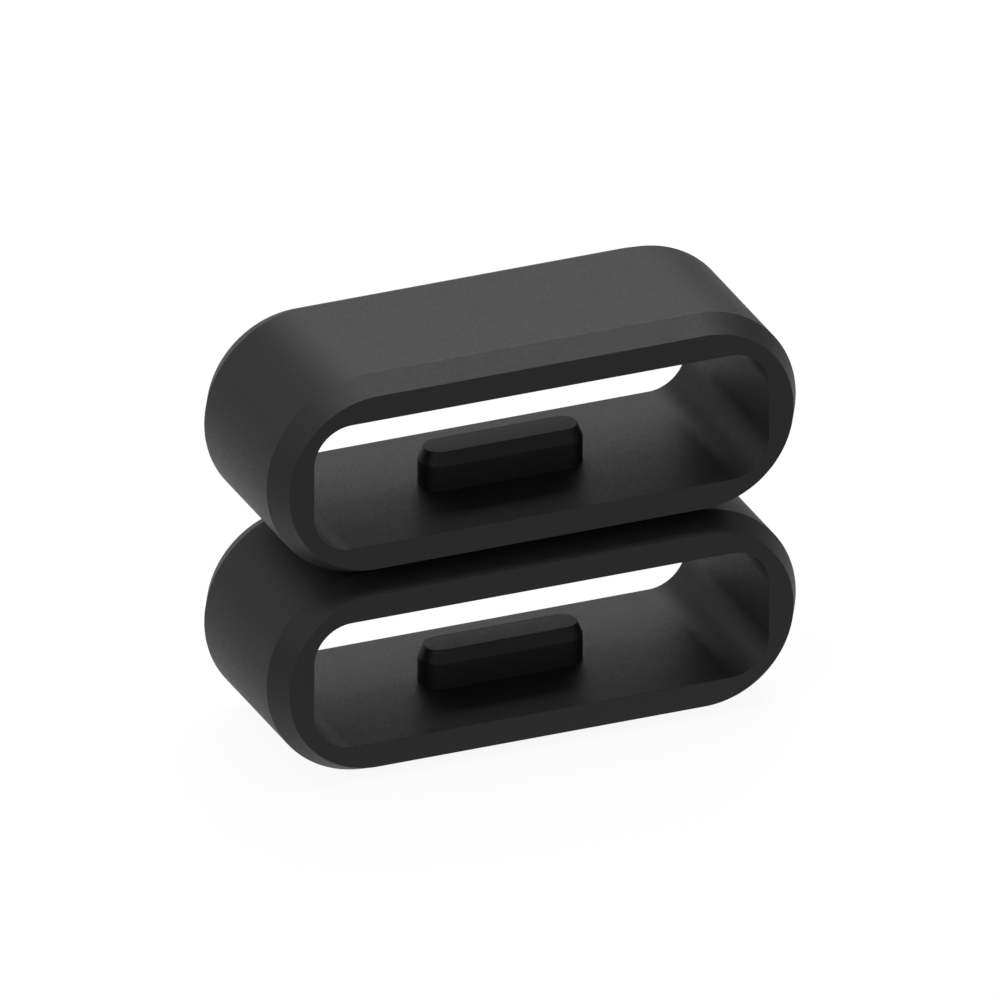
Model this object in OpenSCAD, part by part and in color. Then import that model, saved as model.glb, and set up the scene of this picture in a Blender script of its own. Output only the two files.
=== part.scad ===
// Pair of watch band keepers, stacked one on the other.
// Each keeper is a moulded silicone loop that holds the free tail of a band: the band runs
// through its channel, and a lug on the channel floor snaps into a hole in the band.
// Millimetres. X runs across the band, Y along it, and Z is up. The origin lies under the
// middle of the stack, on the surface that it stands on.

/* [Channel] */
// Width of the channel, for a band of 18 mm
channel_w = 18.2; // [14.2:0.1:26.2]
// Height of the channel, for the band and its tail
channel_h = 5.1; // [4.5:0.1:6.5]
// Radius of the channel's four corners
channel_corner_r = 1.5; // [1:0.1:2.2]

/* [Loop] */
// Thickness of the wall, the same all round the channel
wall = 1.5; // [1.2:0.1:2.5]
// Depth of the loop, measured along the band
loop_d = 8; // [6:0.5:14]
// How far the rim chamfer steps in on the front and back faces
chamfer_in = 0.5; // [0.1:0.1:0.8]
// How far the rim chamfer runs back from each face
chamfer_run = 1; // [0.2:0.1:2]

/* [Lug] */
// Length of the lug, across the band
lug_l = 6.5; // [3:0.5:10]
// Thickness of the lug, which is also the width of its round ends
lug_t = 1.6; // [1:0.1:3]
// Height of the lug above the channel floor
lug_h = 1.5; // [0.8:0.1:2.5]
// How far the chamfer round the lug's crown steps in
lug_chamfer_in = 0.2; // [0.05:0.05:0.4]
// How far down the lug's side that chamfer runs
lug_chamfer_h = 0.5; // [0.1:0.1:0.7]

/* [Stack] */
// Air left between the two keepers
stack_gap = 0.05; // [0.02:0.01:0.5]

/* [Hidden] */
// Height of one keeper, lying on its long side
loop_h = channel_h + 2 * wall;
// Length of one keeper, from end to end
loop_l = channel_w + 2 * wall;
// The ends are full half circles, so their radius is half the height
end_r = loop_h / 2;
// Length of the straight run between the two round ends
loop_straight = loop_l - loop_h;
// The same for the lug, whose ends are half circles as well
lug_straight = lug_l - lug_t;
// The lug is moulded in one with the wall, so it starts inside it
lug_root = wall / 2;
// From the underside of one keeper to the underside of the next
stack_pitch = loop_h + stack_gap;
// How far the channel's cutter passes the faces
cut_past = 1;
charcoal = [0.19, 0.19, 0.19];
$fn = 128;

// Half of the loop's outside section: the radius across, the depth up
module loop_section() {
    polygon([
        [0, -loop_d / 2],
        [end_r - chamfer_in, -loop_d / 2],
        [end_r, -loop_d / 2 + chamfer_run],
        [end_r, loop_d / 2 - chamfer_run],
        [end_r - chamfer_in, loop_d / 2],
        [0, loop_d / 2]
    ]);
}

// Half of the lug's section: the radius across, the height above the floor up
module lug_section() {
    polygon([
        [0, -lug_root],
        [lug_t / 2, -lug_root],
        [lug_t / 2, lug_h - lug_chamfer_h],
        [lug_t / 2 - lug_chamfer_in, lug_h],
        [0, lug_h]
    ]);
}

// Takes a half section round a long path with round ends: the straight run between two
// centres along X, and a half turn about each centre
module round_ended(straight) {
    rotate([90, 0, 90])
        linear_extrude(straight, center = true) {
            children();
            mirror([1, 0])
                children();
        }
    for (side = [0, 180])
        rotate([0, 0, side])
            translate([straight / 2, 0, 0])
                rotate([0, 0, -90])
                    rotate_extrude(angle = 180)
                        children();
}

// Outline of the channel: a rectangle with four round corners
module channel_outline() {
    inner_w = channel_w - 2 * channel_corner_r;
    inner_h = channel_h - 2 * channel_corner_r;
    square([channel_w, inner_h], center = true);
    square([inner_w, channel_h], center = true);
    for (x = [-inner_w / 2, inner_w / 2], y = [-inner_h / 2, inner_h / 2])
        translate([x, y])
            circle(channel_corner_r);
}

// The loop on its long side: the outside with both chamfers, less the channel
module loop() {
    translate([0, 0, loop_h / 2])
        rotate([90, 0, 0])
            difference() {
                round_ended(loop_straight)
                    loop_section();
                linear_extrude(loop_d + 2 * cut_past, center = true)
                    channel_outline();
            }
}

// The lug, in the middle of the channel floor
module lug() {
    translate([0, 0, wall])
        round_ended(lug_straight)
            lug_section();
}

// One keeper is a single moulding
module keeper() {
    union() {
        loop();
        lug();
    }
}

module lower_keeper() {
    color(charcoal)
        keeper();
}

module upper_keeper() {
    color(charcoal)
        translate([0, 0, stack_pitch])
            keeper();
}

lower_keeper();
upper_keeper();
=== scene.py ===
import bmesh
import bpy
from math import cos, pi, radians, sin
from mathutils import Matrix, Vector


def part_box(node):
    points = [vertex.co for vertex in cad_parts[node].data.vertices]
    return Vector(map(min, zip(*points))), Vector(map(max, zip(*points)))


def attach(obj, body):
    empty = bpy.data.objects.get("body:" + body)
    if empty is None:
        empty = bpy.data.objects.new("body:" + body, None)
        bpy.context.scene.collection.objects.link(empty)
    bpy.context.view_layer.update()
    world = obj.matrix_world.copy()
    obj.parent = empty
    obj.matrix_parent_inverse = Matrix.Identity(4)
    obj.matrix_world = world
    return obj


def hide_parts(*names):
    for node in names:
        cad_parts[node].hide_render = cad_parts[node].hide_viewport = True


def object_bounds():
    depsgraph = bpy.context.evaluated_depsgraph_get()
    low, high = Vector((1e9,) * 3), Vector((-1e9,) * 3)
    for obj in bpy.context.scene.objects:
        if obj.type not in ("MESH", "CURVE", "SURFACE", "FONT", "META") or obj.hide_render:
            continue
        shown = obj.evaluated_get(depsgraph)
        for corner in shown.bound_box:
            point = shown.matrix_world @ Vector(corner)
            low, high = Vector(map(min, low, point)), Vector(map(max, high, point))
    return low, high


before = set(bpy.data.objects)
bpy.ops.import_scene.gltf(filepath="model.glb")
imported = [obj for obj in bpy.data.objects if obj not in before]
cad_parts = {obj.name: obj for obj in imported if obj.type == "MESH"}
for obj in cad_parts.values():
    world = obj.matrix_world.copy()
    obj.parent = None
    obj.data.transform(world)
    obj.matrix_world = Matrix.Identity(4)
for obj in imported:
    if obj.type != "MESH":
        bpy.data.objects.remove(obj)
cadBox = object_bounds()
mm = 0.001  # the keepers are modelled in millimetres and brought to metres at the end
samePlace = 0.001  # millimetres: points nearer than this count as one
sameWay = 0.999  # the least cosine at which a face counts as facing a direction
flatWithin = radians(0.5)  # faces that meet at less than this make one flat


def selectOnly(obj):
    bpy.ops.object.select_all(action="DESELECT")
    obj.select_set(True)
    bpy.context.view_layer.objects.active = obj


def pickFaces(obj, wanted):
    # in edit mode: selects just the faces for which wanted(face) is true
    bpy.ops.mesh.select_mode(type="FACE")
    bpy.ops.mesh.select_all(action="DESELECT")
    shape = bmesh.from_edit_mesh(obj.data)
    for face in shape.faces:
        if wanted(face):
            face.select_set(True)
    bmesh.update_edit_mesh(obj.data)


def pickEdges(obj, wanted):
    bpy.ops.mesh.select_mode(type="EDGE")
    bpy.ops.mesh.select_all(action="DESELECT")
    shape = bmesh.from_edit_mesh(obj.data)
    for edge in shape.edges:
        if wanted(edge):
            edge.select_set(True)
    bmesh.update_edit_mesh(obj.data)


def applyModifier(obj, kind, **settings):
    selectOnly(obj)
    bpy.ops.object.modifier_add(type=kind)
    modifier = obj.modifiers[-1]
    for name, value in settings.items():
        setattr(modifier, name, value)
    bpy.ops.object.modifier_apply(modifier=modifier.name)


def cutOrJoin(obj, tool, operation):
    applyModifier(obj, "BOOLEAN", operation=operation, object=tool, solver="EXACT")
    bpy.data.objects.remove(tool)


def bakePlace(obj):
    selectOnly(obj)
    bpy.ops.object.transform_apply(location=True, rotation=True, scale=True)


def addRoundEndedBlock(name, endRadius, straight, depth, turn, endSteps):
    # half a disc, drawn out from its cut side to the middle and mirrored
    bpy.ops.object.select_all(action="DESELECT")
    bpy.ops.mesh.primitive_cylinder_add(
        vertices=endSteps * 2, radius=endRadius, depth=depth, rotation=turn
    )
    block = bpy.context.object
    block.name = name
    bakePlace(block)
    bpy.ops.object.mode_set(mode="EDIT")
    bpy.ops.mesh.select_all(action="SELECT")
    bpy.ops.mesh.bisect(plane_co=(0, 0, 0), plane_no=(1, 0, 0), clear_inner=True)
    bpy.ops.mesh.select_all(action="SELECT")
    bpy.ops.transform.translate(value=(straight / 2, 0, 0))
    cutAt = straight / 2 + samePlace
    pickEdges(block, lambda edge: all(vert.co.x < cutAt for vert in edge.verts))
    bpy.ops.mesh.extrude_region_move(TRANSFORM_OT_translate={"value": (-straight / 2, 0, 0)})
    bpy.ops.object.mode_set(mode="OBJECT")
    applyModifier(block, "MIRROR", use_axis=(True, False, False), merge_threshold=samePlace)
    return block


def raiseCap(block, direction, chamferIn, chamferRun):
    # draws one end face in and out in one step, which leaves a chamfer round it
    pickFaces(block, lambda face: face.normal.dot(direction) > sameWay)
    bpy.ops.mesh.inset(thickness=chamferIn, depth=chamferRun)


def tidyFlats(block):
    # from edit mode: each flat becomes one face
    bpy.ops.mesh.select_all(action="SELECT")
    bpy.ops.mesh.dissolve_limited(angle_limit=flatWithin)
    bpy.ops.mesh.normals_make_consistent(inside=False)
    bpy.ops.object.mode_set(mode="OBJECT")


# millimetres; a keeper's length, height and depth come from the frame
loopSizes = {
    "wall": 1.5,  # the same all round the channel
    "channelCorner": 1.5,
    "chamferIn": 0.5,  # across the rim
    "chamferRun": 1.0,  # along the depth
    "endSteps": 72,  # facets on each half-round end
    "cornerSteps": 24,  # facets on each channel corner
}


def addLoopBlank(size):
    low, high = (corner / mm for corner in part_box("lower_keeper"))
    endRadius = (high.z - low.z) / 2
    straight = (high.x - low.x) - 2 * endRadius
    core = (high.y - low.y) - 2 * size["chamferRun"]
    blank = addRoundEndedBlock(
        "loopBlank", endRadius, straight, core, (pi / 2, 0, 0), size["endSteps"]
    )
    bpy.ops.object.mode_set(mode="EDIT")
    for side in (-1, 1):
        raiseCap(blank, Vector((0, side, 0)), size["chamferIn"], size["chamferRun"])
    tidyFlats(blank)
    selectOnly(blank)
    bpy.ops.transform.translate(value=(0, 0, endRadius))
    bakePlace(blank)
    return blank


def addChannelCutter(size):
    low, high = (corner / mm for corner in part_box("lower_keeper"))
    channel = Vector((
        high.x - low.x - 2 * size["wall"],
        2 * (high.y - low.y),  # twice the keeper's depth, so that it cuts right through
        high.z - low.z - 2 * size["wall"],
    ))
    bpy.ops.object.select_all(action="DESELECT")
    bpy.ops.mesh.primitive_cube_add(size=1, location=(0, 0, (low.z + high.z) / 2), scale=channel)
    cutter = bpy.context.object
    bakePlace(cutter)
    bpy.ops.object.mode_set(mode="EDIT")
    # the four edges that run along the depth
    pickEdges(cutter, lambda edge: abs(edge.verts[0].co.y - edge.verts[1].co.y) > samePlace)
    bpy.ops.mesh.bevel(
        offset=size["channelCorner"], segments=size["cornerSteps"], affect="EDGES"
    )
    bpy.ops.object.mode_set(mode="OBJECT")
    return cutter


# millimetres
lugSizes = {
    "length": 6.5,
    "thickness": 1.6,
    "height": 1.5,  # above the channel floor
    "chamferIn": 0.2,
    "chamferDrop": 0.5,
    "root": 0.75,  # how deep it starts inside the wall
    "endSteps": 36,
}


def addLug(size, channelFloor):
    radius = size["thickness"] / 2
    side = size["root"] + size["height"] - size["chamferDrop"]
    lug = addRoundEndedBlock(
        "lug", radius, size["length"] - 2 * radius, side, (0, 0, 0), size["endSteps"]
    )
    bpy.ops.object.mode_set(mode="EDIT")
    raiseCap(lug, Vector((0, 0, 1)), size["chamferIn"], size["chamferDrop"])
    tidyFlats(lug)
    selectOnly(lug)
    bpy.ops.transform.translate(value=(0, 0, channelFloor - size["root"] + side / 2))
    bakePlace(lug)
    return lug


edgeSizes = {
    "radius": 0.015,  # millimetres; every moulded edge is broken by this much
    "steps": 3,
    "sharperThan": radians(14),  # the facets of the round ends meet at less
    "weld": 0.0005,  # millimetres; points that the cuts left nearer than this become one
    "flatWeight": 100,  # the shading follows the large faces and not the broken edges
}


def breakEdges(keeper, size):
    selectOnly(keeper)
    bpy.ops.object.mode_set(mode="EDIT")
    bpy.ops.mesh.select_all(action="SELECT")
    bpy.ops.mesh.remove_doubles(threshold=size["weld"])
    tidyFlats(keeper)
    applyModifier(
        keeper, "BEVEL", width=size["radius"], segments=size["steps"],
        limit_method="ANGLE", angle_limit=size["sharperThan"],
    )
    bpy.ops.object.shade_smooth()
    applyModifier(
        keeper, "WEIGHTED_NORMAL", mode="FACE_AREA", weight=size["flatWeight"], keep_sharp=True
    )


def addKeeper(name):
    keeper = addLoopBlank(loopSizes)
    cutOrJoin(keeper, addChannelCutter(loopSizes), "DIFFERENCE")
    cutOrJoin(keeper, addLug(lugSizes, loopSizes["wall"]), "UNION")
    breakEdges(keeper, edgeSizes)
    bpy.ops.transform.resize(value=(mm, mm, mm))
    bakePlace(keeper)
    keeper.name = name
    return keeper


def addNode(tree, kind, place, sockets=None, **settings):
    node = tree.nodes.new(kind)
    node.location = place
    for name, value in settings.items():
        setattr(node, name, value)
    for name, value in (sockets or {}).items():
        node.inputs[name].default_value = value
    return node


def grey(level):
    return (level, level, level, 1)


grainLook = {
    "pitDetail": 2.0,
    "pitRoughness": 0.6,
    "cloudDetail": 3.0,
    "cloudShare": 0.25,
    "lowest": 0.3,  # the pits' noise between these two is spread over the whole range
    "highest": 0.7,
}


def buildMouldGrain(look):
    # what a finely blasted mould leaves: fine pits and faint larger clouds that vary the colour and
    # the gloss, while the pits alone give the relief
    group = bpy.data.node_groups.new("mouldGrain", "ShaderNodeTree")
    for name, kind in (
        ("Vector", "NodeSocketVector"),
        ("Pits", "NodeSocketFloat"),
        ("Clouds", "NodeSocketFloat"),
        ("Dark", "NodeSocketColor"),
        ("Light", "NodeSocketColor"),
        ("Smooth", "NodeSocketFloat"),
        ("Rough", "NodeSocketFloat"),
    ):
        group.interface.new_socket(name=name, in_out="INPUT", socket_type=kind)
    for name, kind in (
        ("Color", "NodeSocketColor"),
        ("Roughness", "NodeSocketFloat"),
        ("Height", "NodeSocketFloat"),
    ):
        group.interface.new_socket(name=name, in_out="OUTPUT", socket_type=kind)
    given = addNode(group, "NodeGroupInput", (-900, 0))
    result = addNode(group, "NodeGroupOutput", (500, 0))
    pits = addNode(
        group, "ShaderNodeTexNoise", (-600, 200),
        {"Detail": look["pitDetail"], "Roughness": look["pitRoughness"]},
    )
    clouds = addNode(group, "ShaderNodeTexNoise", (-600, -200), {"Detail": look["cloudDetail"]})
    spread = addNode(
        group, "ShaderNodeMapRange", (-350, 200),
        {"From Min": look["lowest"], "From Max": look["highest"]},
    )
    both = addNode(
        group, "ShaderNodeMix", (-100, 0), {"Factor": look["cloudShare"]}, data_type="FLOAT"
    )
    tint = addNode(group, "ShaderNodeMix", (200, 200), data_type="RGBA")
    gloss = addNode(group, "ShaderNodeMix", (200, -100), data_type="FLOAT")
    link = group.links.new
    for texture, scale in ((pits, "Pits"), (clouds, "Clouds")):
        link(given.outputs["Vector"], texture.inputs["Vector"])
        link(given.outputs[scale], texture.inputs["Scale"])
    link(pits.outputs["Fac"], spread.inputs["Value"])
    link(spread.outputs["Result"], both.inputs["A"])
    link(clouds.outputs["Fac"], both.inputs["B"])
    link(both.outputs[0], tint.inputs["Factor"])
    link(both.outputs[0], gloss.inputs["Factor"])
    link(given.outputs["Smooth"], gloss.inputs["A"])
    link(given.outputs["Rough"], gloss.inputs["B"])
    link(gloss.outputs[0], result.inputs["Roughness"])
    # a Mix node holds its colour sockets after those for numbers and vectors
    link(given.outputs["Dark"], tint.inputs[6])
    link(given.outputs["Light"], tint.inputs[7])
    link(tint.outputs[2], result.inputs["Color"])
    link(spread.outputs["Result"], result.inputs["Height"])
    return group


siliconeFinish = {
    "dark": grey(0.0095),
    "light": grey(0.0125),
    "smooth": 0.43,
    "rough": 0.59,
    "pitsPerMetre": 9500,
    "cloudsPerMetre": 500,
    "relief": 0.0008 * mm,  # how deep the pits are
    "ior": 1.5,
}


def makeSilicone(finish, grain):
    silicone = bpy.data.materials.new("charcoalSilicone")
    silicone.use_nodes = True
    tree = silicone.node_tree
    tree.nodes.clear()
    place = addNode(tree, "ShaderNodeTexCoord", (-700, 0))
    skin = addNode(
        tree, "ShaderNodeGroup", (-450, 0),
        {"Pits": finish["pitsPerMetre"], "Clouds": finish["cloudsPerMetre"],
         "Dark": finish["dark"], "Light": finish["light"],
         "Smooth": finish["smooth"], "Rough": finish["rough"]},
        node_tree=grain,
    )
    bump = addNode(tree, "ShaderNodeBump", (-200, -250), {"Distance": finish["relief"]})
    shader = addNode(tree, "ShaderNodeBsdfPrincipled", (50, 0), {"IOR": finish["ior"]})
    surface = addNode(tree, "ShaderNodeOutputMaterial", (350, 0))
    link = tree.links.new
    link(place.outputs["Object"], skin.inputs["Vector"])
    link(skin.outputs["Color"], shader.inputs["Base Color"])
    link(skin.outputs["Roughness"], shader.inputs["Roughness"])
    link(skin.outputs["Height"], bump.inputs["Height"])
    link(bump.outputs["Normal"], shader.inputs["Normal"])
    link(shader.outputs["BSDF"], surface.inputs["Surface"])
    return silicone


cameraPlace = {
    "azimuth": 22.64,  # degrees to the left of square on
    "elevation": 26.18,
    "frameWidth": 1000 / 27.05 * mm,  # 1000 pixels, 27.05 to the millimetre
    "aimAbove": 0.275 * mm,  # the stack stands a little below the picture's middle
    "distance": 300 * mm,
    "nearest": 1 * mm,
    "furthest": 2000 * mm,
}


def addCamera(size):
    low, high = cadBox
    turn = radians(size["azimuth"])
    rise = radians(size["elevation"])
    back = Vector((-sin(turn) * cos(rise), -cos(turn) * cos(rise), sin(rise)))
    up = Vector((sin(turn) * sin(rise), cos(turn) * sin(rise), cos(rise)))
    bpy.ops.object.camera_add()
    camera = bpy.context.object
    camera.name = "photoCamera"
    camera.data.type = "ORTHO"
    camera.data.ortho_scale = size["frameWidth"]
    camera.data.clip_start = size["nearest"]
    camera.data.clip_end = size["furthest"]
    camera.location = (low + high) / 2 + up * size["aimAbove"] + back * size["distance"]
    camera.rotation_mode = "QUATERNION"
    camera.rotation_quaternion = (-back).to_track_quat("-Z", "Y")
    bpy.context.scene.camera = camera


floorLook = {
    "size": 2000 * mm,
    "below": 0.01 * mm,  # under the stack
    "behind": 0.84,  # what the keepers get from its glow; painted light and shade: brighter behind as if lit from behind, less to its front as painted shadow
    "frontLeft": 0.6,
    "frontRight": 0.51,
    "blend": 15 * mm,  # half the width of the change between them
    "grazingShare": 0.65,  # how much of that is left at the grazing angle and below
    "grazing": radians(17.5),
    "steep": radians(37),  # from here up all of it is left
    "shown": 0.92,  # the camera sees it washed out to white, with a faint shadow
    "shadowShare": 0.12,
}


def addFloor(look):
    bpy.ops.object.select_all(action="DESELECT")
    bpy.ops.mesh.primitive_plane_add(size=look["size"], location=(0, 0, -look["below"]))
    floor = bpy.context.object
    floor.name = "paleFloor"
    bakePlace(floor)
    pale = bpy.data.materials.new("palePaper")
    pale.use_nodes = True
    tree = pale.node_tree
    tree.nodes.clear()
    link = tree.links.new
    turn = radians(cameraPlace["azimuth"])
    place = addNode(tree, "ShaderNodeTexCoord", (-1300, 200))
    across = addNode(tree, "ShaderNodeVectorMath", (-1100, 0), operation="DOT_PRODUCT")
    across.inputs[1].default_value = (cos(turn), -sin(turn), 0)
    away = addNode(tree, "ShaderNodeVectorMath", (-1100, 200), operation="DOT_PRODUCT")
    away.inputs[1].default_value = (sin(turn), cos(turn), 0)
    # painted light and shade in the floor's glow: brighter behind the stack, dimmer in front, least
    # to the front right
    front = addNode(
        tree, "ShaderNodeMapRange", (-900, 0),
        {"From Min": -look["blend"], "From Max": look["blend"],
         "To Min": look["frontLeft"], "To Max": look["frontRight"]},
        interpolation_type="SMOOTHSTEP",
    )
    given = addNode(
        tree, "ShaderNodeMapRange", (-700, 200),
        {"From Min": -look["blend"], "From Max": look["blend"], "To Max": look["behind"]},
        interpolation_type="SMOOTHSTEP",
    )
    # at its usual Blend of 0.5, Facing is 1 less the sine of the angle to the floor
    facing = addNode(tree, "ShaderNodeLayerWeight", (-1100, 450))
    fade = addNode(
        tree, "ShaderNodeMapRange", (-900, 450),
        {"From Min": 1 - sin(look["steep"]), "From Max": 1 - sin(look["grazing"]),
         "To Min": 1, "To Max": look["grazingShare"]},
    )
    strength = addNode(tree, "ShaderNodeMath", (-700, 450), operation="MULTIPLY")
    lit = addNode(tree, "ShaderNodeEmission", (-500, 200))
    white = addNode(tree, "ShaderNodeEmission", (-500, 0), {"Strength": look["shown"]})
    shade = addNode(
        tree, "ShaderNodeBsdfDiffuse", (-500, -150), {"Color": grey(look["shadowShare"])}
    )
    shown = addNode(tree, "ShaderNodeAddShader", (-300, -50))
    path = addNode(tree, "ShaderNodeLightPath", (-300, 400))
    choice = addNode(tree, "ShaderNodeMixShader", (-100, 100))
    surface = addNode(tree, "ShaderNodeOutputMaterial", (100, 100))
    link(place.outputs["Object"], across.inputs[0])
    link(across.outputs["Value"], front.inputs["Value"])
    link(front.outputs["Result"], given.inputs["To Min"])
    link(place.outputs["Object"], away.inputs[0])
    link(away.outputs["Value"], given.inputs["Value"])
    link(facing.outputs["Facing"], fade.inputs["Value"])
    link(fade.outputs["Result"], strength.inputs[0])
    link(given.outputs["Result"], strength.inputs[1])
    link(strength.outputs["Value"], lit.inputs["Strength"])
    link(white.outputs["Emission"], shown.inputs[0])
    link(shade.outputs["BSDF"], shown.inputs[1])
    link(path.outputs["Is Camera Ray"], choice.inputs["Fac"])
    link(lit.outputs["Emission"], choice.inputs[1])
    link(shown.outputs["Shader"], choice.inputs[2])
    link(choice.outputs["Shader"], surface.inputs["Surface"])
    floor.data.materials.append(pale)


softboxDistance = 500 * mm
# where each softbox stands as seen from the keepers, in degrees anticlockwise from +X and up,
# and its width in metres
softboxes = {
    "keySoftbox": {"azimuth": 60, "elevation": 60, "width": 0.28, "watts": 0.673},
    "topScrim": {"azimuth": 84, "elevation": 76, "width": 1.6, "watts": 0.414},
    "leftCrownSoftbox": {"azimuth": 180, "elevation": 75, "width": 0.28, "watts": 0.335},
    "rightCrownSoftbox": {"azimuth": 0, "elevation": 75, "width": 0.28, "watts": 0.282},
    "leftSoftbox": {"azimuth": 205, "elevation": 28, "width": 0.28, "watts": 0.411},
    "rearSoftbox": {"azimuth": 80, "elevation": 45, "width": 0.28, "watts": 0.159},
    "rightRearSoftbox": {"azimuth": 54, "elevation": 36, "width": 0.28, "watts": 0.095},
    "lowLeftRearSoftbox": {"azimuth": 110, "elevation": 10, "width": 0.16, "watts": 0.059},
    "lowRightRearSoftbox": {"azimuth": 67, "elevation": 10, "width": 0.16, "watts": 0.037},
}


def addSoftbox(name, box):
    turn = radians(box["azimuth"])
    rise = radians(box["elevation"])
    towards = Vector((cos(turn) * cos(rise), sin(turn) * cos(rise), sin(rise)))
    middle = (cadBox[0] + cadBox[1]) / 2
    bpy.ops.object.light_add(type="AREA", location=middle + towards * softboxDistance)
    light = bpy.context.object
    light.name = name
    light.data.shape = "DISK"
    light.data.size = box["width"]
    light.data.energy = box["watts"]
    light.rotation_mode = "QUATERNION"
    light.rotation_quaternion = towards.to_track_quat("Z", "Y")


roomLight = {
    "shown": 1.0,  # white to the camera
    "given": 0.254,  # what the keepers get from it
}


def addRoom(light):
    room = bpy.data.worlds.new("paleRoom")
    room.use_nodes = True
    tree = room.node_tree
    tree.nodes.clear()
    path = addNode(tree, "ShaderNodeLightPath", (-300, 200))
    given = addNode(
        tree, "ShaderNodeBackground", (-300, -100),
        {"Color": grey(1), "Strength": light["given"]},
    )
    shown = addNode(
        tree, "ShaderNodeBackground", (-300, -300),
        {"Color": grey(1), "Strength": light["shown"]},
    )
    choice = addNode(tree, "ShaderNodeMixShader", (0, 0))
    surface = addNode(tree, "ShaderNodeOutputWorld", (200, 0))
    tree.links.new(path.outputs["Is Camera Ray"], choice.inputs["Fac"])
    tree.links.new(given.outputs["Background"], choice.inputs[1])
    tree.links.new(shown.outputs["Background"], choice.inputs[2])
    tree.links.new(choice.outputs["Shader"], surface.inputs["Surface"])
    bpy.context.scene.world = room
    bpy.context.scene.view_settings.view_transform = "Standard"


addCamera(cameraPlace)
print("camera set at the photograph's angle")

lower = addKeeper("lowerKeeper")
upper = lower.copy()
upper.data = lower.data.copy()
upper.name = "upperKeeper"
bpy.context.scene.collection.objects.link(upper)
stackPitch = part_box("upper_keeper")[0].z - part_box("lower_keeper")[0].z
selectOnly(upper)
bpy.ops.transform.translate(value=(0, 0, stackPitch))
bakePlace(upper)
silicone = makeSilicone(siliconeFinish, buildMouldGrain(grainLook))
for piece, node in ((lower, "lower_keeper"), (upper, "upper_keeper")):
    piece.data.materials.append(silicone)
    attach(piece, node)
    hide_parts(node)
print("keepers made: %d faces each" % len(lower.data.polygons))

addFloor(floorLook)
for name, box in softboxes.items():
    addSoftbox(name, box)
addRoom(roomLight)
print("floor, %d softboxes and room light set" % len(softboxes))
